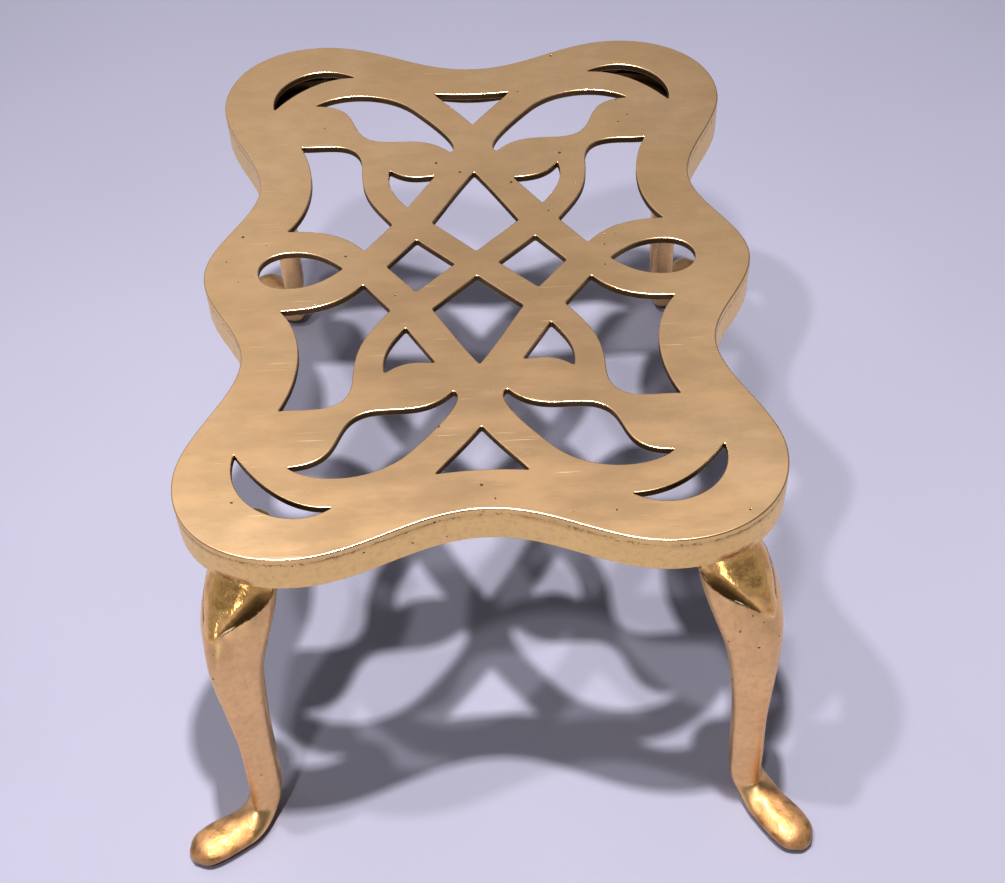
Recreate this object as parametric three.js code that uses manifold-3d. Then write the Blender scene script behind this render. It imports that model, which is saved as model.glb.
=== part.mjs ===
// A brass pot stand: a pierced strapwork top with a deep skirt, on four cabriole legs.
// Millimetres, +Z up, +X to the right, +Y to the back, origin on the floor under the middle of the top.
import * as THREE from 'three';
import { mergeVertices } from 'three/addons/utils/BufferGeometryUtils.js';
import Module from 'manifold-3d';

const wasm = await Module();
wasm.setup();

// Driving dimensions
const HEIGHT = 165; // floor to the top face
const WIDTH = 209; // over the corner lobes, left to right
const LENGTH = 273; // over the corner lobes, front to back
const PLATE_THICKNESS = 3;
const SKIRT_DEPTH = 13; // below the plate
const SKIRT_WALL = 3;
const CORNER_ROUND = 1; // cut back from each corner of an opening

// Legs
const LEG_ANGLE = 50; // degrees from +X to the way each leg points
const LEG_INSET = 14.5; // from the skirt's outer face in to the middle of the leg's head
const LEG_OFFSET = 3.2; // along the skirt, from where it stands out most towards the end of the stand
const ANKLE_HEIGHT = 12; // floor to the ankle, where the shank turns into the foot
const FOOT_TURN_REACH = 12; // past the ankle, over which a turned foot comes round
const SHOULDER_GAP = 0.3; // between the skirt's lower edge and the knee

// Flange on the head of each leg, screwed up to two bosses under the plate
const FLANGE_THICKNESS = 4;
const FLANGE_WIDTH = 11.5;
const FLANGE_REACH = 37; // along the skirt, each way from the middle of the leg
const FLANGE_CLEARANCE = 0.5; // to the inside of the skirt
const BOSS_DIAMETER = 11;
const BOSS_HEIGHT = 3;

// Cheese-head screws
const SCREW_REACH = 28; // along the skirt, each way from the middle of the leg
const SCREW_DIAMETER = 4;
const SCREW_HEAD_DIAMETER = 8;
const SCREW_HEAD_HEIGHT = 2.4;
const SLOT_WIDTH = 1.1;
const SLOT_DEPTH = 1.1;
const SCREW_CLEARANCE = 0.25; // round the shank
const SCREW_END_GAP = 0.3; // between the shank's end and the end of its hole
const SCREW_COVER = 0.9; // metal left over the end of the hole

// Fineness of the curves
const EDGE_POINTS = 200;
const CORNER_SEARCH = 1600; // points tried round the edge for where a corner stands out most
const OPENING_STEPS = 8; // on each curved side of an opening
const FLANGE_STEPS = 14;
const LEG_SIDES = 24;
const LEG_RINGS = 30;
const ROUND_SIDES = 16;

// One quarter of the plate's edge, from the middle of the right side to the middle of the back, drawn for a
// plate of this half width and half length. Each curve starts and ends level or upright, so the quarters
// meet smoothly.
const DRAWN_HALF = [104.5, 136.5];
const EDGE = [
  [[104, 0], [104, 17], [86, 30], [86, 46.5]],
  [[86, 46.5], [86, 64], [104.5, 81], [104.5, 100]],
  [[104.5, 100], [104.5, 121], [88, 136.5], [64, 136.5]],
  [[64, 136.5], [40, 136.5], [24, 119], [0, 119]],
];

// The openings of one quarter. Each side is a straight line of two points or a curve of four.
const BAND_OPENING = [
  [[73.5, 21.5], [63, 34], [63, 55], [70.8, 71]],
  [[70.8, 71], [62, 69.5], [45.5, 75.5], [45.3, 57]],
  [[45.3, 57], [45.2, 40], [40.5, 35], [32.5, 23.3]],
  [[32.5, 23.3], [43, 9.2]],
  [[43, 9.2], [50, 17.5], [58, 21.5], [73.5, 21.5]],
];
const LEAF = [
  [[66, 97], [57, 105], [36, 105.5], [24, 92]],
  [[24, 92], [16, 83], [4, 69], [9.5, 65]],
  [[9.5, 65], [19, 76], [30, 71.5], [39, 73.3]],
  [[39, 73.3], [54, 77], [44, 96], [66, 97]],
];
const CRESCENT = [
  [[83.3, 95], [87, 113], [67, 126.5], [50, 115.3]],
  [[50, 115.3], [63, 115.5], [74, 108], [83.3, 95]],
];
const LONG_CRESCENT = [
  [[84.5, 90], [88.5, 112], [65, 126.5], [50, 115.3]],
  [[50, 115.3], [64, 116], [76, 104], [84.5, 90]],
];
const FIN = [
  [[26.7, 32.7], [32, 40], [35.5, 46], [34, 55]],
  [[34, 55], [27, 49], [22, 50.5], [15.8, 50.8]],
  [[15.8, 50.8], [26.7, 32.7]],
];
const HORNED_FIN = [
  [[26.7, 32.7], [32, 40], [36.5, 47], [34, 57]],
  [[34, 57], [29, 49], [22, 49], [15.8, 48.5]],
  [[15.8, 48.5], [26.7, 32.7]],
];

// Openings on the long axis, as the sides to the right of it
const DIAMOND = [
  [[0, 52.5], [7, 42], [12, 32], [17, 23.5]],
  [[17, 23.5], [0, 6.7]],
];
const TRIANGLE = [
  [[0, 82], [7, 92], [11, 96], [16, 102.8]],
  [[16, 102.8], [10, 102], [5, 101.8], [0, 101.8]],
];

// Openings on the short axis, as the sides behind it
const SMALL_DIAMOND = [
  [[8.3, 0], [23, 14.2]],
  [[23, 14.2], [34.3, 0]],
];
const LOOP = [
  [[51, 0], [60, 9], [67, 10], [73, 9.5]],
  [[73, 9.5], [79, 9], [83.3, 5], [83.3, 0]],
];

// Sections of the shank, from its shoulder under the skirt down to the ankle: how far up it they are, how
// far out their middle lies, how far they lean, half their width, and how square they are (2 is round)
const SHANK = [
  { up: 1, out: 1.5, lean: 0, half: 11.2, square: 2.2 },
  { up: 0.895, out: 8, lean: 0, half: 13.4, square: 2.6 },
  { up: 0.78, out: 14.8, lean: 0, half: 12.4, square: 3.2 },
  { up: 0.65, out: 18.6, lean: 0, half: 9.9, square: 3.6 },
  { up: 0.495, out: 19.8, lean: 0, half: 8, square: 4 },
  { up: 0.315, out: 20.3, lean: 0, half: 6.6, square: 4 },
  { up: 0.14, out: 21, lean: 2, half: 6.4, square: 4 },
  { up: 0, out: 22.5, lean: 12, half: 6.1, square: 3.6 },
];

// Sections of the foot, from the ankle to the toe: height over the floor, reach past the ankle, how far
// they lean, half their height, half their breadth, and how square they are
const FOOT = [
  { height: 8, reach: 2.4, lean: 42, half: 5.4, breadth: 6.2, square: 3 },
  { height: 5.2, reach: 8.5, lean: 70, half: 4.5, breadth: 7, square: 2.6 },
  { height: 4.2, reach: 17, lean: 86, half: 4.2, breadth: 8, square: 2.4 },
  { height: 4.1, reach: 26, lean: 92, half: 4.2, breadth: 8.3, square: 2.2 },
  { height: 3.8, reach: 32.5, lean: 100, half: 3.6, breadth: 6.4, square: 2 },
  { height: 3.3, reach: 35.5, lean: 105, half: 1.4, breadth: 2.7, square: 2 },
];

// The corners. The stand was sawn and set by hand, so each corner's lobe runs a little further out or
// less far than the pattern, and each leg's head, ankle and foot are a little off theirs, by [x, y]. Each
// foot is turned by some degrees towards the end of the stand, and a leg is filed slimmer by a share at its
// ankle. One crescent was sawn longer than the others, and one fin with a horn.
const CORNERS = [
  {
    name: 'front_left', x: -1, y: -1, lobe: [3.1, 0.8],
    head: [3, 0.4], ankle: [5.8, -1.2], foot: [1.9, -6], turn: -20, slim: 0,
    crescent: LONG_CRESCENT, fin: FIN,
  },
  {
    name: 'front_right', x: 1, y: -1, lobe: [0.7, -1.5],
    head: [-1.8, -1], ankle: [1.7, -2], foot: [1, -1.4], turn: 5, slim: 0,
    crescent: CRESCENT, fin: FIN,
  },
  {
    name: 'back_left', x: -1, y: 1, lobe: [-1.4, 2.8],
    head: [0, -2], ankle: [1.2, -2], foot: [0, 3.1], turn: 0, slim: 0.28,
    crescent: CRESCENT, fin: FIN,
  },
  {
    name: 'back_right', x: 1, y: 1, lobe: [-2.7, -3],
    head: [0, 1.5], ankle: [-4.2, 1.5], foot: [-1.5, 2.5], turn: 0, slim: 0.18,
    crescent: CRESCENT, fin: HORNED_FIN,
  },
];

// Heights that follow
const PLATE_BOTTOM = HEIGHT - PLATE_THICKNESS;
const SKIRT_BOTTOM = PLATE_BOTTOM - SKIRT_DEPTH;
const SHOULDER = SKIRT_BOTTOM - SHOULDER_GAP;
const FLANGE_TOP = PLATE_BOTTOM - BOSS_HEIGHT;
const FLANGE_BOTTOM = FLANGE_TOP - FLANGE_THICKNESS;
const HOLE_TOP = HEIGHT - SCREW_COVER;
const FLANGE_INSET = SKIRT_WALL + FLANGE_CLEARANCE;
const SCREW_INSET = FLANGE_INSET + FLANGE_WIDTH / 2;
const HOLE_DIAMETER = SCREW_DIAMETER + 2 * SCREW_CLEARANCE;
const OVERLAP = 1; // by which solids that are joined run into each other

const topBrass = new THREE.MeshStandardMaterial({ color: 0xc9a27c, roughness: 0.38, metalness: 1 });
const skirtBrass = new THREE.MeshStandardMaterial({ color: 0xc39a66, roughness: 0.42, metalness: 1 });
const legBrass = new THREE.MeshStandardMaterial({ color: 0xbd8f68, roughness: 0.3, metalness: 1 });
const screwBrass = new THREE.MeshStandardMaterial({ color: 0x9a7a46, roughness: 0.5, metalness: 1 });

// Solids

function solidOf(geometry) {
  const bare = geometry.clone();
  bare.deleteAttribute('normal');
  bare.deleteAttribute('uv');
  const merged = mergeVertices(bare);
  const vertProperties = merged.attributes.position.array;
  const triVerts = new Uint32Array(merged.index.array);
  return new wasm.Manifold(new wasm.Mesh({ numProp: 3, vertProperties, triVerts }));
}

function geometryOf(solid) {
  const { vertProperties, triVerts } = solid.getMesh();
  const geometry = new THREE.BufferGeometry();
  geometry.setAttribute('position', new THREE.BufferAttribute(vertProperties, 3));
  geometry.setIndex(new THREE.BufferAttribute(triVerts, 1));
  geometry.computeVertexNormals();
  return geometry;
}

function named(name, geometry, material) {
  const mesh = new THREE.Mesh(geometry, material);
  mesh.name = name;
  return mesh;
}

// An outline with holes, filled from one height to another
function prism(outline, holes, bottom, top) {
  const shape = new THREE.Shape(outline);
  shape.holes = holes.map((points) => new THREE.Path(points));
  const geometry = new THREE.ExtrudeGeometry(shape, { depth: top - bottom, bevelEnabled: false });
  return solidOf(geometry.translate(0, 0, bottom));
}

function upright(diameter, { x, y }, bottom, top) {
  const geometry = new THREE.CylinderGeometry(diameter / 2, diameter / 2, top - bottom, ROUND_SIDES);
  return solidOf(geometry.rotateX(Math.PI / 2).translate(x, y, (bottom + top) / 2));
}

// Outlines

function reversed(sides) {
  return sides.map((side) => side.toReversed()).toReversed();
}

// The sides of one quarter's pattern as they lie at a corner, with the corner's lobe in them
function sidesAt(corner, sides) {
  const [halfWidth, halfLength] = DRAWN_HALF;
  return sides.map((side) =>
    side.map(([x, y]) => {
      const share = (x / halfWidth) * (y / halfLength);
      return new THREE.Vector2(
        corner.x * ((x / halfWidth) * (WIDTH / 2) + share * corner.lobe[0]),
        corner.y * ((y / halfLength) * (LENGTH / 2) + share * corner.lobe[1]),
      );
    }),
  );
}

function curveOf(points) {
  return points.length === 2 ? new THREE.LineCurve(...points) : new THREE.CubicBezierCurve(...points);
}

// The whole edge, anticlockwise from the middle of the right side
const edge = new THREE.CurvePath();
const [frontLeft, frontRight, backLeft, backRight] = CORNERS;
[
  sidesAt(backRight, EDGE),
  reversed(sidesAt(backLeft, EDGE)),
  sidesAt(frontLeft, EDGE),
  reversed(sidesAt(frontRight, EDGE)),
].flat().forEach((side) => edge.add(curveOf(side)));
const edgeLength = edge.getLength();

// A point on the edge, or in from it, at a distance along it
function edgePoint(distance, inset) {
  const t = THREE.MathUtils.euclideanModulo(distance / edgeLength, 1);
  const tangent = edge.getTangent(t);
  return edge.getPoint(t).add(new THREE.Vector2(-tangent.y, tangent.x).multiplyScalar(inset));
}

function edgeOutline(inset) {
  const step = edgeLength / EDGE_POINTS;
  return Array.from({ length: EDGE_POINTS }, (_, i) => edgePoint(i * step, inset));
}

function isCorner(before, after) {
  return before.getTangent(1).dot(after.getTangent(0)) < Math.cos(Math.PI / 12);
}

// Points round a closed chain of sides, with its corners rounded
function loopPoints(sides) {
  const curves = sides.map(curveOf);
  return curves.flatMap((curve, i) => {
    const next = curves[(i + 1) % curves.length];
    const cut = CORNER_ROUND / curve.getLength();
    const start = isCorner(curves.at(i - 1), curve) ? cut : 0;
    const end = isCorner(curve, next) ? 1 - cut : 1;
    const steps = curve.isLineCurve ? 1 : OPENING_STEPS;
    const points = Array.from({ length: steps }, (_, k) => curve.getPointAt(start + ((end - start) * k) / steps));
    if (end === 1) return points;
    const corner = new THREE.QuadraticBezierCurve(
      curve.getPointAt(end),
      curve.getPointAt(1),
      next.getPointAt(CORNER_ROUND / next.getLength()),
    );
    return [...points, ...[0, 1 / 3, 2 / 3].map((t) => corner.getPoint(t))];
  });
}

function openings() {
  const quarters = CORNERS.flatMap((corner) =>
    [BAND_OPENING, LEAF, corner.crescent, corner.fin].map((sides) => sidesAt(corner, sides)),
  );
  const across = (one, other, sides) => [...sidesAt(one, sides), ...reversed(sidesAt(other, sides))];
  const onLongAxis = [DIAMOND, TRIANGLE].flatMap((sides) => [
    across(frontRight, frontLeft, sides),
    across(backRight, backLeft, sides),
  ]);
  const onShortAxis = [SMALL_DIAMOND, LOOP].flatMap((sides) => [
    across(backRight, frontRight, sides),
    across(backLeft, frontLeft, sides),
  ]);
  return [...quarters, ...onLongAxis, ...onShortAxis].map(loopPoints);
}

// The way a corner's leg points
function wayOf({ x, y }) {
  const angle = THREE.MathUtils.degToRad(LEG_ANGLE);
  return new THREE.Vector2(x * Math.cos(angle), y * Math.sin(angle));
}

// A point near a corner: along the edge from the middle of the leg, towards the end of the stand, and in
// from the edge
function cornerPoint(corner, along, inset) {
  return edgePoint(corner.distance + corner.x * corner.y * (LEG_OFFSET + along), inset);
}

// The distance along the edge at which each corner stands out most, the way its leg points
for (const corner of CORNERS) {
  const way = wayOf(corner);
  const tries = Array.from({ length: CORNER_SEARCH }, (_, i) => (edgeLength * i) / CORNER_SEARCH);
  const reach = (distance) => edgePoint(distance, 0).dot(way);
  corner.distance = tries.reduce((best, distance) => (reach(distance) > reach(best) ? distance : best));
}

// Sub-parts

function screwPlaces(corner) {
  return [-SCREW_REACH, SCREW_REACH].map((along) => cornerPoint(corner, along, SCREW_INSET));
}

function topPlate() {
  let plate = prism(edgeOutline(0), openings(), PLATE_BOTTOM, HEIGHT);
  for (const place of CORNERS.flatMap(screwPlaces)) {
    plate = plate.add(upright(BOSS_DIAMETER, place, FLANGE_TOP, PLATE_BOTTOM + OVERLAP));
    plate = plate.subtract(upright(HOLE_DIAMETER, place, FLANGE_TOP - OVERLAP, HOLE_TOP));
  }
  return named('top_plate', geometryOf(plate), topBrass);
}

function skirt() {
  const ring = prism(edgeOutline(0), [edgeOutline(SKIRT_WALL)], SKIRT_BOTTOM, PLATE_BOTTOM);
  return named('skirt', geometryOf(ring), skirtBrass);
}

// One ring of the leg, in its own upright plane: across runs over the plane, out and height lie in it
function legRing({ out, height, lean, half, breadth, square }) {
  const angle = THREE.MathUtils.degToRad(lean);
  return Array.from({ length: LEG_SIDES }, (_, i) => {
    const turn = (i / LEG_SIDES) * 2 * Math.PI;
    const size = (Math.abs(Math.cos(turn)) ** square + Math.abs(Math.sin(turn)) ** square) ** (-1 / square);
    const ridge = size * Math.cos(turn - Math.PI / 4) * half;
    const across = size * Math.sin(turn - Math.PI / 4) * breadth;
    return { out: out + ridge * Math.cos(angle), across, height: height + ridge * Math.sin(angle) };
  });
}

// How much of what was done by hand at the ankle shows at a height: none at the shoulder, all at the ankle
function ankleShare(height) {
  const drop = THREE.MathUtils.clamp((SHOULDER - height) / (SHOULDER - ANKLE_HEIGHT), 0, 1);
  return Math.sin((drop * Math.PI) / 2);
}

// The leg's sections from the head down to the toe, all in the same terms
function legSections(slim) {
  const shank = SHANK.map((section) => {
    const height = THREE.MathUtils.lerp(ANKLE_HEIGHT, SHOULDER, section.up);
    const half = section.half * (1 - slim * ankleShare(height));
    return { ...section, height, half, breadth: half };
  });
  const head = { ...shank[0], height: FLANGE_BOTTOM + OVERLAP };
  const foot = FOOT.map((section) => ({ ...section, out: SHANK.at(-1).out + section.reach }));
  return [head, ...shank, ...foot];
}

// The same sections, closer together, on smooth curves through them
function smoothSections(sections) {
  const keys = ['out', 'height', 'lean', 'half', 'breadth', 'square'];
  const times = [0];
  for (let i = 1; i < sections.length; i += 1) {
    const step = Math.hypot(sections[i].out - sections[i - 1].out, sections[i].height - sections[i - 1].height);
    times.push(times[i - 1] + step);
  }
  const values = sections.flatMap((section) => keys.map((key) => section[key]));
  const curve = new THREE.CubicInterpolant(times, values, keys.length);
  return Array.from({ length: LEG_RINGS + 1 }, (_, i) => {
    const sample = curve.evaluate((times.at(-1) * i) / LEG_RINGS);
    return Object.fromEntries(keys.map((key, k) => [key, sample[k]]));
  });
}

function legBody(corner) {
  const rings = smoothSections(legSections(corner.slim)).map(legRing);
  const head = cornerPoint(corner, 0, LEG_INSET);
  const way = wayOf(corner);
  const ankleOut = SHANK.at(-1).out;
  const place = ({ out, across, height }) => {
    const turned = THREE.MathUtils.smoothstep(out, ankleOut, ankleOut + FOOT_TURN_REACH);
    const point = new THREE.Vector2(out, across);
    point.rotateAround(new THREE.Vector2(ankleOut, 0), THREE.MathUtils.degToRad(corner.turn * turned));
    const side = corner.x * corner.y * point.y;
    const share = ankleShare(height);
    const shift = [0, 1].map(
      (axis) => THREE.MathUtils.lerp(corner.head[axis], corner.ankle[axis], share) + corner.foot[axis] * turned,
    );
    const x = head.x + point.x * way.x - side * way.y + shift[0];
    const y = head.y + point.x * way.y + side * way.x + shift[1];
    return [x, y, height];
  };
  const middle = (ring) => ({
    out: ring.reduce((sum, point) => sum + point.out, 0) / ring.length,
    across: 0,
    height: ring.reduce((sum, point) => sum + point.height, 0) / ring.length,
  });
  const positions = [...rings.flat(), middle(rings[0]), middle(rings.at(-1))].flatMap(place);
  const top = rings.length * LEG_SIDES;
  const faces = [];
  for (let i = 0; i < LEG_SIDES; i += 1) {
    const j = (i + 1) % LEG_SIDES;
    for (let ring = 0; ring < rings.length - 1; ring += 1) {
      const a = ring * LEG_SIDES;
      const b = a + LEG_SIDES;
      faces.push([a + i, b + j, a + j], [a + i, b + i, b + j]);
    }
    const last = top - LEG_SIDES;
    faces.push([top, i, j], [top + 1, last + j, last + i]);
  }
  const turned = corner.x * corner.y > 0 ? faces : faces.map(([a, b, c]) => [a, c, b]);
  const geometry = new THREE.BufferGeometry();
  geometry.setAttribute('position', new THREE.Float32BufferAttribute(positions, 3));
  geometry.setIndex(turned.flat());
  return solidOf(geometry);
}

function flange(corner) {
  const steps = Array.from({ length: FLANGE_STEPS + 1 }, (_, i) => FLANGE_REACH * ((2 * i) / FLANGE_STEPS - 1));
  const outer = steps.map((along) => cornerPoint(corner, along, FLANGE_INSET));
  const inner = steps.map((along) => cornerPoint(corner, along, FLANGE_INSET + FLANGE_WIDTH));
  return prism([...outer, ...inner.toReversed()], [], FLANGE_BOTTOM, FLANGE_TOP);
}

function leg(corner) {
  const body = legBody(corner);
  const belowSkirt = new THREE.BoxGeometry(2 * WIDTH, 2 * LENGTH, SHOULDER).translate(0, 0, SHOULDER / 2);
  const underSkirt = body.intersect(solidOf(belowSkirt));
  const inSkirt = body.intersect(prism(edgeOutline(FLANGE_INSET), [], SHOULDER - OVERLAP, FLANGE_TOP));
  let solid = underSkirt.add(inSkirt).add(flange(corner));
  for (const place of screwPlaces(corner)) {
    solid = solid.subtract(upright(HOLE_DIAMETER, place, FLANGE_BOTTOM - OVERLAP, FLANGE_TOP + OVERLAP));
  }
  return named(`leg_${corner.name}`, geometryOf(solid), legBrass);
}

function screw(name, place) {
  const shank = SCREW_DIAMETER / 2;
  const head = SCREW_HEAD_DIAMETER / 2;
  const end = HOLE_TOP - SCREW_END_GAP;
  const headBottom = FLANGE_BOTTOM - SCREW_HEAD_HEIGHT;
  const profile = [
    [0, headBottom],
    [head, headBottom],
    [head, FLANGE_BOTTOM],
    [shank, FLANGE_BOTTOM],
    [shank, end],
    [0, end],
  ].map(([radius, height]) => new THREE.Vector2(radius, height));
  const body = solidOf(new THREE.LatheGeometry(profile, ROUND_SIDES).rotateX(Math.PI / 2));
  const slot = new THREE.BoxGeometry(SCREW_HEAD_DIAMETER + OVERLAP, SLOT_WIDTH, 2 * SLOT_DEPTH);
  const cut = body.subtract(solidOf(slot.translate(0, 0, headBottom)));
  const mesh = named(name, geometryOf(cut), screwBrass);
  mesh.position.set(place.x, place.y, 0);
  return mesh;
}

const stand = new THREE.Group();
stand.name = 'pot_stand';
stand.add(topPlate(), skirt());
for (const corner of CORNERS) {
  stand.add(leg(corner));
  screwPlaces(corner).forEach((place, i) => stand.add(screw(`screw_${corner.name}_${i + 1}`, place)));
}

export default stand;
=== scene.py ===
"""A brass pot stand for a studio picture: pierced top, skirt, four cabriole legs and their screws."""

import math

import bmesh
import bpy
import numpy as np
from mathutils import Matrix, Quaternion, Vector, noise
from mathutils.geometry import tessellate_polygon


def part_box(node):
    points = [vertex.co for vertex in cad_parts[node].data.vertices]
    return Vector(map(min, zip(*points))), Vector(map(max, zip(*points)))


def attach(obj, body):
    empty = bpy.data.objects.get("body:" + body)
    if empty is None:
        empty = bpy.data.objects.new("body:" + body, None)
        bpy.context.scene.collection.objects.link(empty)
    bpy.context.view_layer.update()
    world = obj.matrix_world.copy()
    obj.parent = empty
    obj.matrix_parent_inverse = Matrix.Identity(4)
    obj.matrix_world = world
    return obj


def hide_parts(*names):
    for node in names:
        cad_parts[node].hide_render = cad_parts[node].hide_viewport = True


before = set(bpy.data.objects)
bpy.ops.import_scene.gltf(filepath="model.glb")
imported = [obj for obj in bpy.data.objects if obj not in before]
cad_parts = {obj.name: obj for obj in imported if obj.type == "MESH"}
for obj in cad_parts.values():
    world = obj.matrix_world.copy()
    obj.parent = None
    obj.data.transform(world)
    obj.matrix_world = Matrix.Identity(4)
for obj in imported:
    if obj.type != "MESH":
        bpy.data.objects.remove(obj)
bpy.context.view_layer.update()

# Sizes in millimetres, as in the part's source
MM = 0.001
HEIGHT = 165
WIDTH = 209
LENGTH = 273
PLATE_THICKNESS = 3
SKIRT_DEPTH = 13
SKIRT_WALL = 3
CORNER_ROUND = 1
LEG_ANGLE = 50
LEG_INSET = 14.5
LEG_OFFSET = 3.2
ANKLE_HEIGHT = 12
FOOT_TURN_REACH = 12
SHOULDER_GAP = 0.3
BOSS_DIAMETER = 11
BOSS_HEIGHT = 3
HOLE_DIAMETER = 4.5
NECK_DROP = 3

PLATE_BOTTOM = HEIGHT - PLATE_THICKNESS
SKIRT_BOTTOM = PLATE_BOTTOM - SKIRT_DEPTH
SHOULDER = SKIRT_BOTTOM - SHOULDER_GAP
FLANGE_TOP = PLATE_BOTTOM - BOSS_HEIGHT
NECK_TOP = FLANGE_TOP - NECK_DROP

# Rounding and fineness of what is seen
TOP_ARRIS = 0.6
SAWN_ARRIS = 0.4
LOWER_ARRIS = 0.35
SEAM_ARRIS = 0.08
SKIRT_ARRIS = 0.3
KNEE_ARRIS = 0.4
SCREW_ARRIS = 0.2
ARC_STEPS = 4
EDGE_STEP = 1.2
TIP_STEPS = 8
LEG_RINGS = 150
LEG_SIDES = 64
RING_GAP = 0.2
BOSS_SIDES = 40
BEZIER_STEPS = 240

# Sides that meet at more than this turn have the corner between them rounded
SHARP_TURN = math.radians(15)

# Material slots: 0 is a piece's own brass, sawn walls and what lies under the top have dull brass, darkened
#  further as painted shade, and the plate's outer rim has the skirt's brass
SAWN_PAINT = 1
NECK_PAINT = 1
RIM_PAINT = 2

# One quarter of the plate's edge, and the openings of one quarter, as straight or curved sides
DRAWN_HALF = (104.5, 136.5)
EDGE = [
    [(104, 0), (104, 17), (86, 30), (86, 46.5)],
    [(86, 46.5), (86, 64), (104.5, 81), (104.5, 100)],
    [(104.5, 100), (104.5, 121), (88, 136.5), (64, 136.5)],
    [(64, 136.5), (40, 136.5), (24, 119), (0, 119)],
]
BAND_OPENING = [
    [(73.5, 21.5), (63, 34), (63, 55), (70.8, 71)],
    [(70.8, 71), (62, 69.5), (45.5, 75.5), (45.3, 57)],
    [(45.3, 57), (45.2, 40), (40.5, 35), (32.5, 23.3)],
    [(32.5, 23.3), (43, 9.2)],
    [(43, 9.2), (50, 17.5), (58, 21.5), (73.5, 21.5)],
]
LEAF = [
    [(66, 97), (57, 105), (36, 105.5), (24, 92)],
    [(24, 92), (16, 83), (4, 69), (9.5, 65)],
    [(9.5, 65), (19, 76), (30, 71.5), (39, 73.3)],
    [(39, 73.3), (54, 77), (44, 96), (66, 97)],
]
CRESCENT = [
    [(83.3, 95), (87, 113), (67, 126.5), (50, 115.3)],
    [(50, 115.3), (63, 115.5), (74, 108), (83.3, 95)],
]
LONG_CRESCENT = [
    [(84.5, 90), (88.5, 112), (65, 126.5), (50, 115.3)],
    [(50, 115.3), (64, 116), (76, 104), (84.5, 90)],
]
FIN = [
    [(26.7, 32.7), (32, 40), (35.5, 46), (34, 55)],
    [(34, 55), (27, 49), (22, 50.5), (15.8, 50.8)],
    [(15.8, 50.8), (26.7, 32.7)],
]
HORNED_FIN = [
    [(26.7, 32.7), (32, 40), (36.5, 47), (34, 57)],
    [(34, 57), (29, 49), (22, 49), (15.8, 48.5)],
    [(15.8, 48.5), (26.7, 32.7)],
]
DIAMOND = [[(0, 52.5), (7, 42), (12, 32), (17, 23.5)], [(17, 23.5), (0, 6.7)]]
TRIANGLE = [[(0, 82), (7, 92), (11, 96), (16, 102.8)], [(16, 102.8), (10, 102), (5, 101.8), (0, 101.8)]]
SMALL_DIAMOND = [[(8.3, 0), (23, 14.2)], [(23, 14.2), (34.3, 0)]]
LOOP = [[(51, 0), (60, 9), (67, 10), (73, 9.5)], [(73, 9.5), (79, 9), (83.3, 5), (83.3, 0)]]

# Sections of the shank: how far up, how far out, lean, half width, squareness
SHANK = [
    (1, 1.5, 0, 11.2, 2.2),
    (0.895, 8, 0, 13.4, 2.6),
    (0.78, 14.8, 0, 12.4, 3.2),
    (0.65, 18.6, 0, 9.9, 3.6),
    (0.495, 19.8, 0, 8, 4),
    (0.315, 20.3, 0, 6.6, 4),
    (0.14, 21, 2, 6.4, 4),
    (0, 22.5, 12, 6.1, 3.6),
]
ANKLE_OUT = SHANK[-1][1]

# Sections of the foot: height, reach past the ankle, lean, half height, half breadth, squareness
FOOT = [
    (8, 2.4, 42, 5.4, 6.2, 3),
    (5.2, 8.5, 70, 4.5, 7, 2.6),
    (4.2, 17, 86, 4.2, 8, 2.4),
    (4.1, 26, 92, 4.2, 8.3, 2.2),
    (3.8, 32.5, 100, 3.6, 6.4, 2),
    (3.3, 35.5, 105, 1.4, 2.7, 2),
]
TOE_ROUNDING = [(0.15, 0.8), (0.26, 0.5), (0.32, 0.2)]

# Each corner: how far its lobe is off the pattern, how far hand setting moved its leg's head, ankle and foot,
# the foot's turn in degrees, how much slimmer the leg is at the ankle, and the openings that differ
CORNERS = [
    {
        "name": "front_left", "x": -1, "y": -1, "lobe": (3.1, 0.8),
        "head": (3, 0.4), "ankle": (5.8, -1.2), "foot": (1.9, -6), "turn": -20, "slim": 0,
        "crescent": LONG_CRESCENT, "fin": FIN,
    },
    {
        "name": "front_right", "x": 1, "y": -1, "lobe": (0.7, -1.5),
        "head": (-1.8, -1), "ankle": (1.7, -2), "foot": (1, -1.4), "turn": 5, "slim": 0,
        "crescent": CRESCENT, "fin": FIN,
    },
    {
        "name": "back_left", "x": -1, "y": 1, "lobe": (-1.4, 2.8),
        "head": (0, -2), "ankle": (1.2, -2), "foot": (0, 3.1), "turn": 0, "slim": 0.28,
        "crescent": CRESCENT, "fin": FIN,
    },
    {
        "name": "back_right", "x": 1, "y": 1, "lobe": (-2.7, -3),
        "head": (0, 1.5), "ankle": (-4.2, 1.5), "foot": (-1.5, 2.5), "turn": 0, "slim": 0.18,
        "crescent": CRESCENT, "fin": HORNED_FIN,
    },
]
SCREWS = [f"screw_{corner['name']}_{i}" for corner in CORNERS for i in (1, 2)]

# Camera: where it stands, what it looks at, its roll in degrees, and its focal length in pixels of the frame
CAMERA_PLACE = (8.518, -470.75, 614.304)
CAMERA_TARGET = (7.097, -89.728, 165)
CAMERA_ROLL = 2.566
FOCAL_PIXELS = 1700
FRAME_WIDTH = 1005
SENSOR = 36


# Curves

def smooth_share(value):
    """A value between 0 and 1, eased at both ends."""
    t = min(max(value, 0), 1)
    return t * t * (3 - 2 * t)


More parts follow.
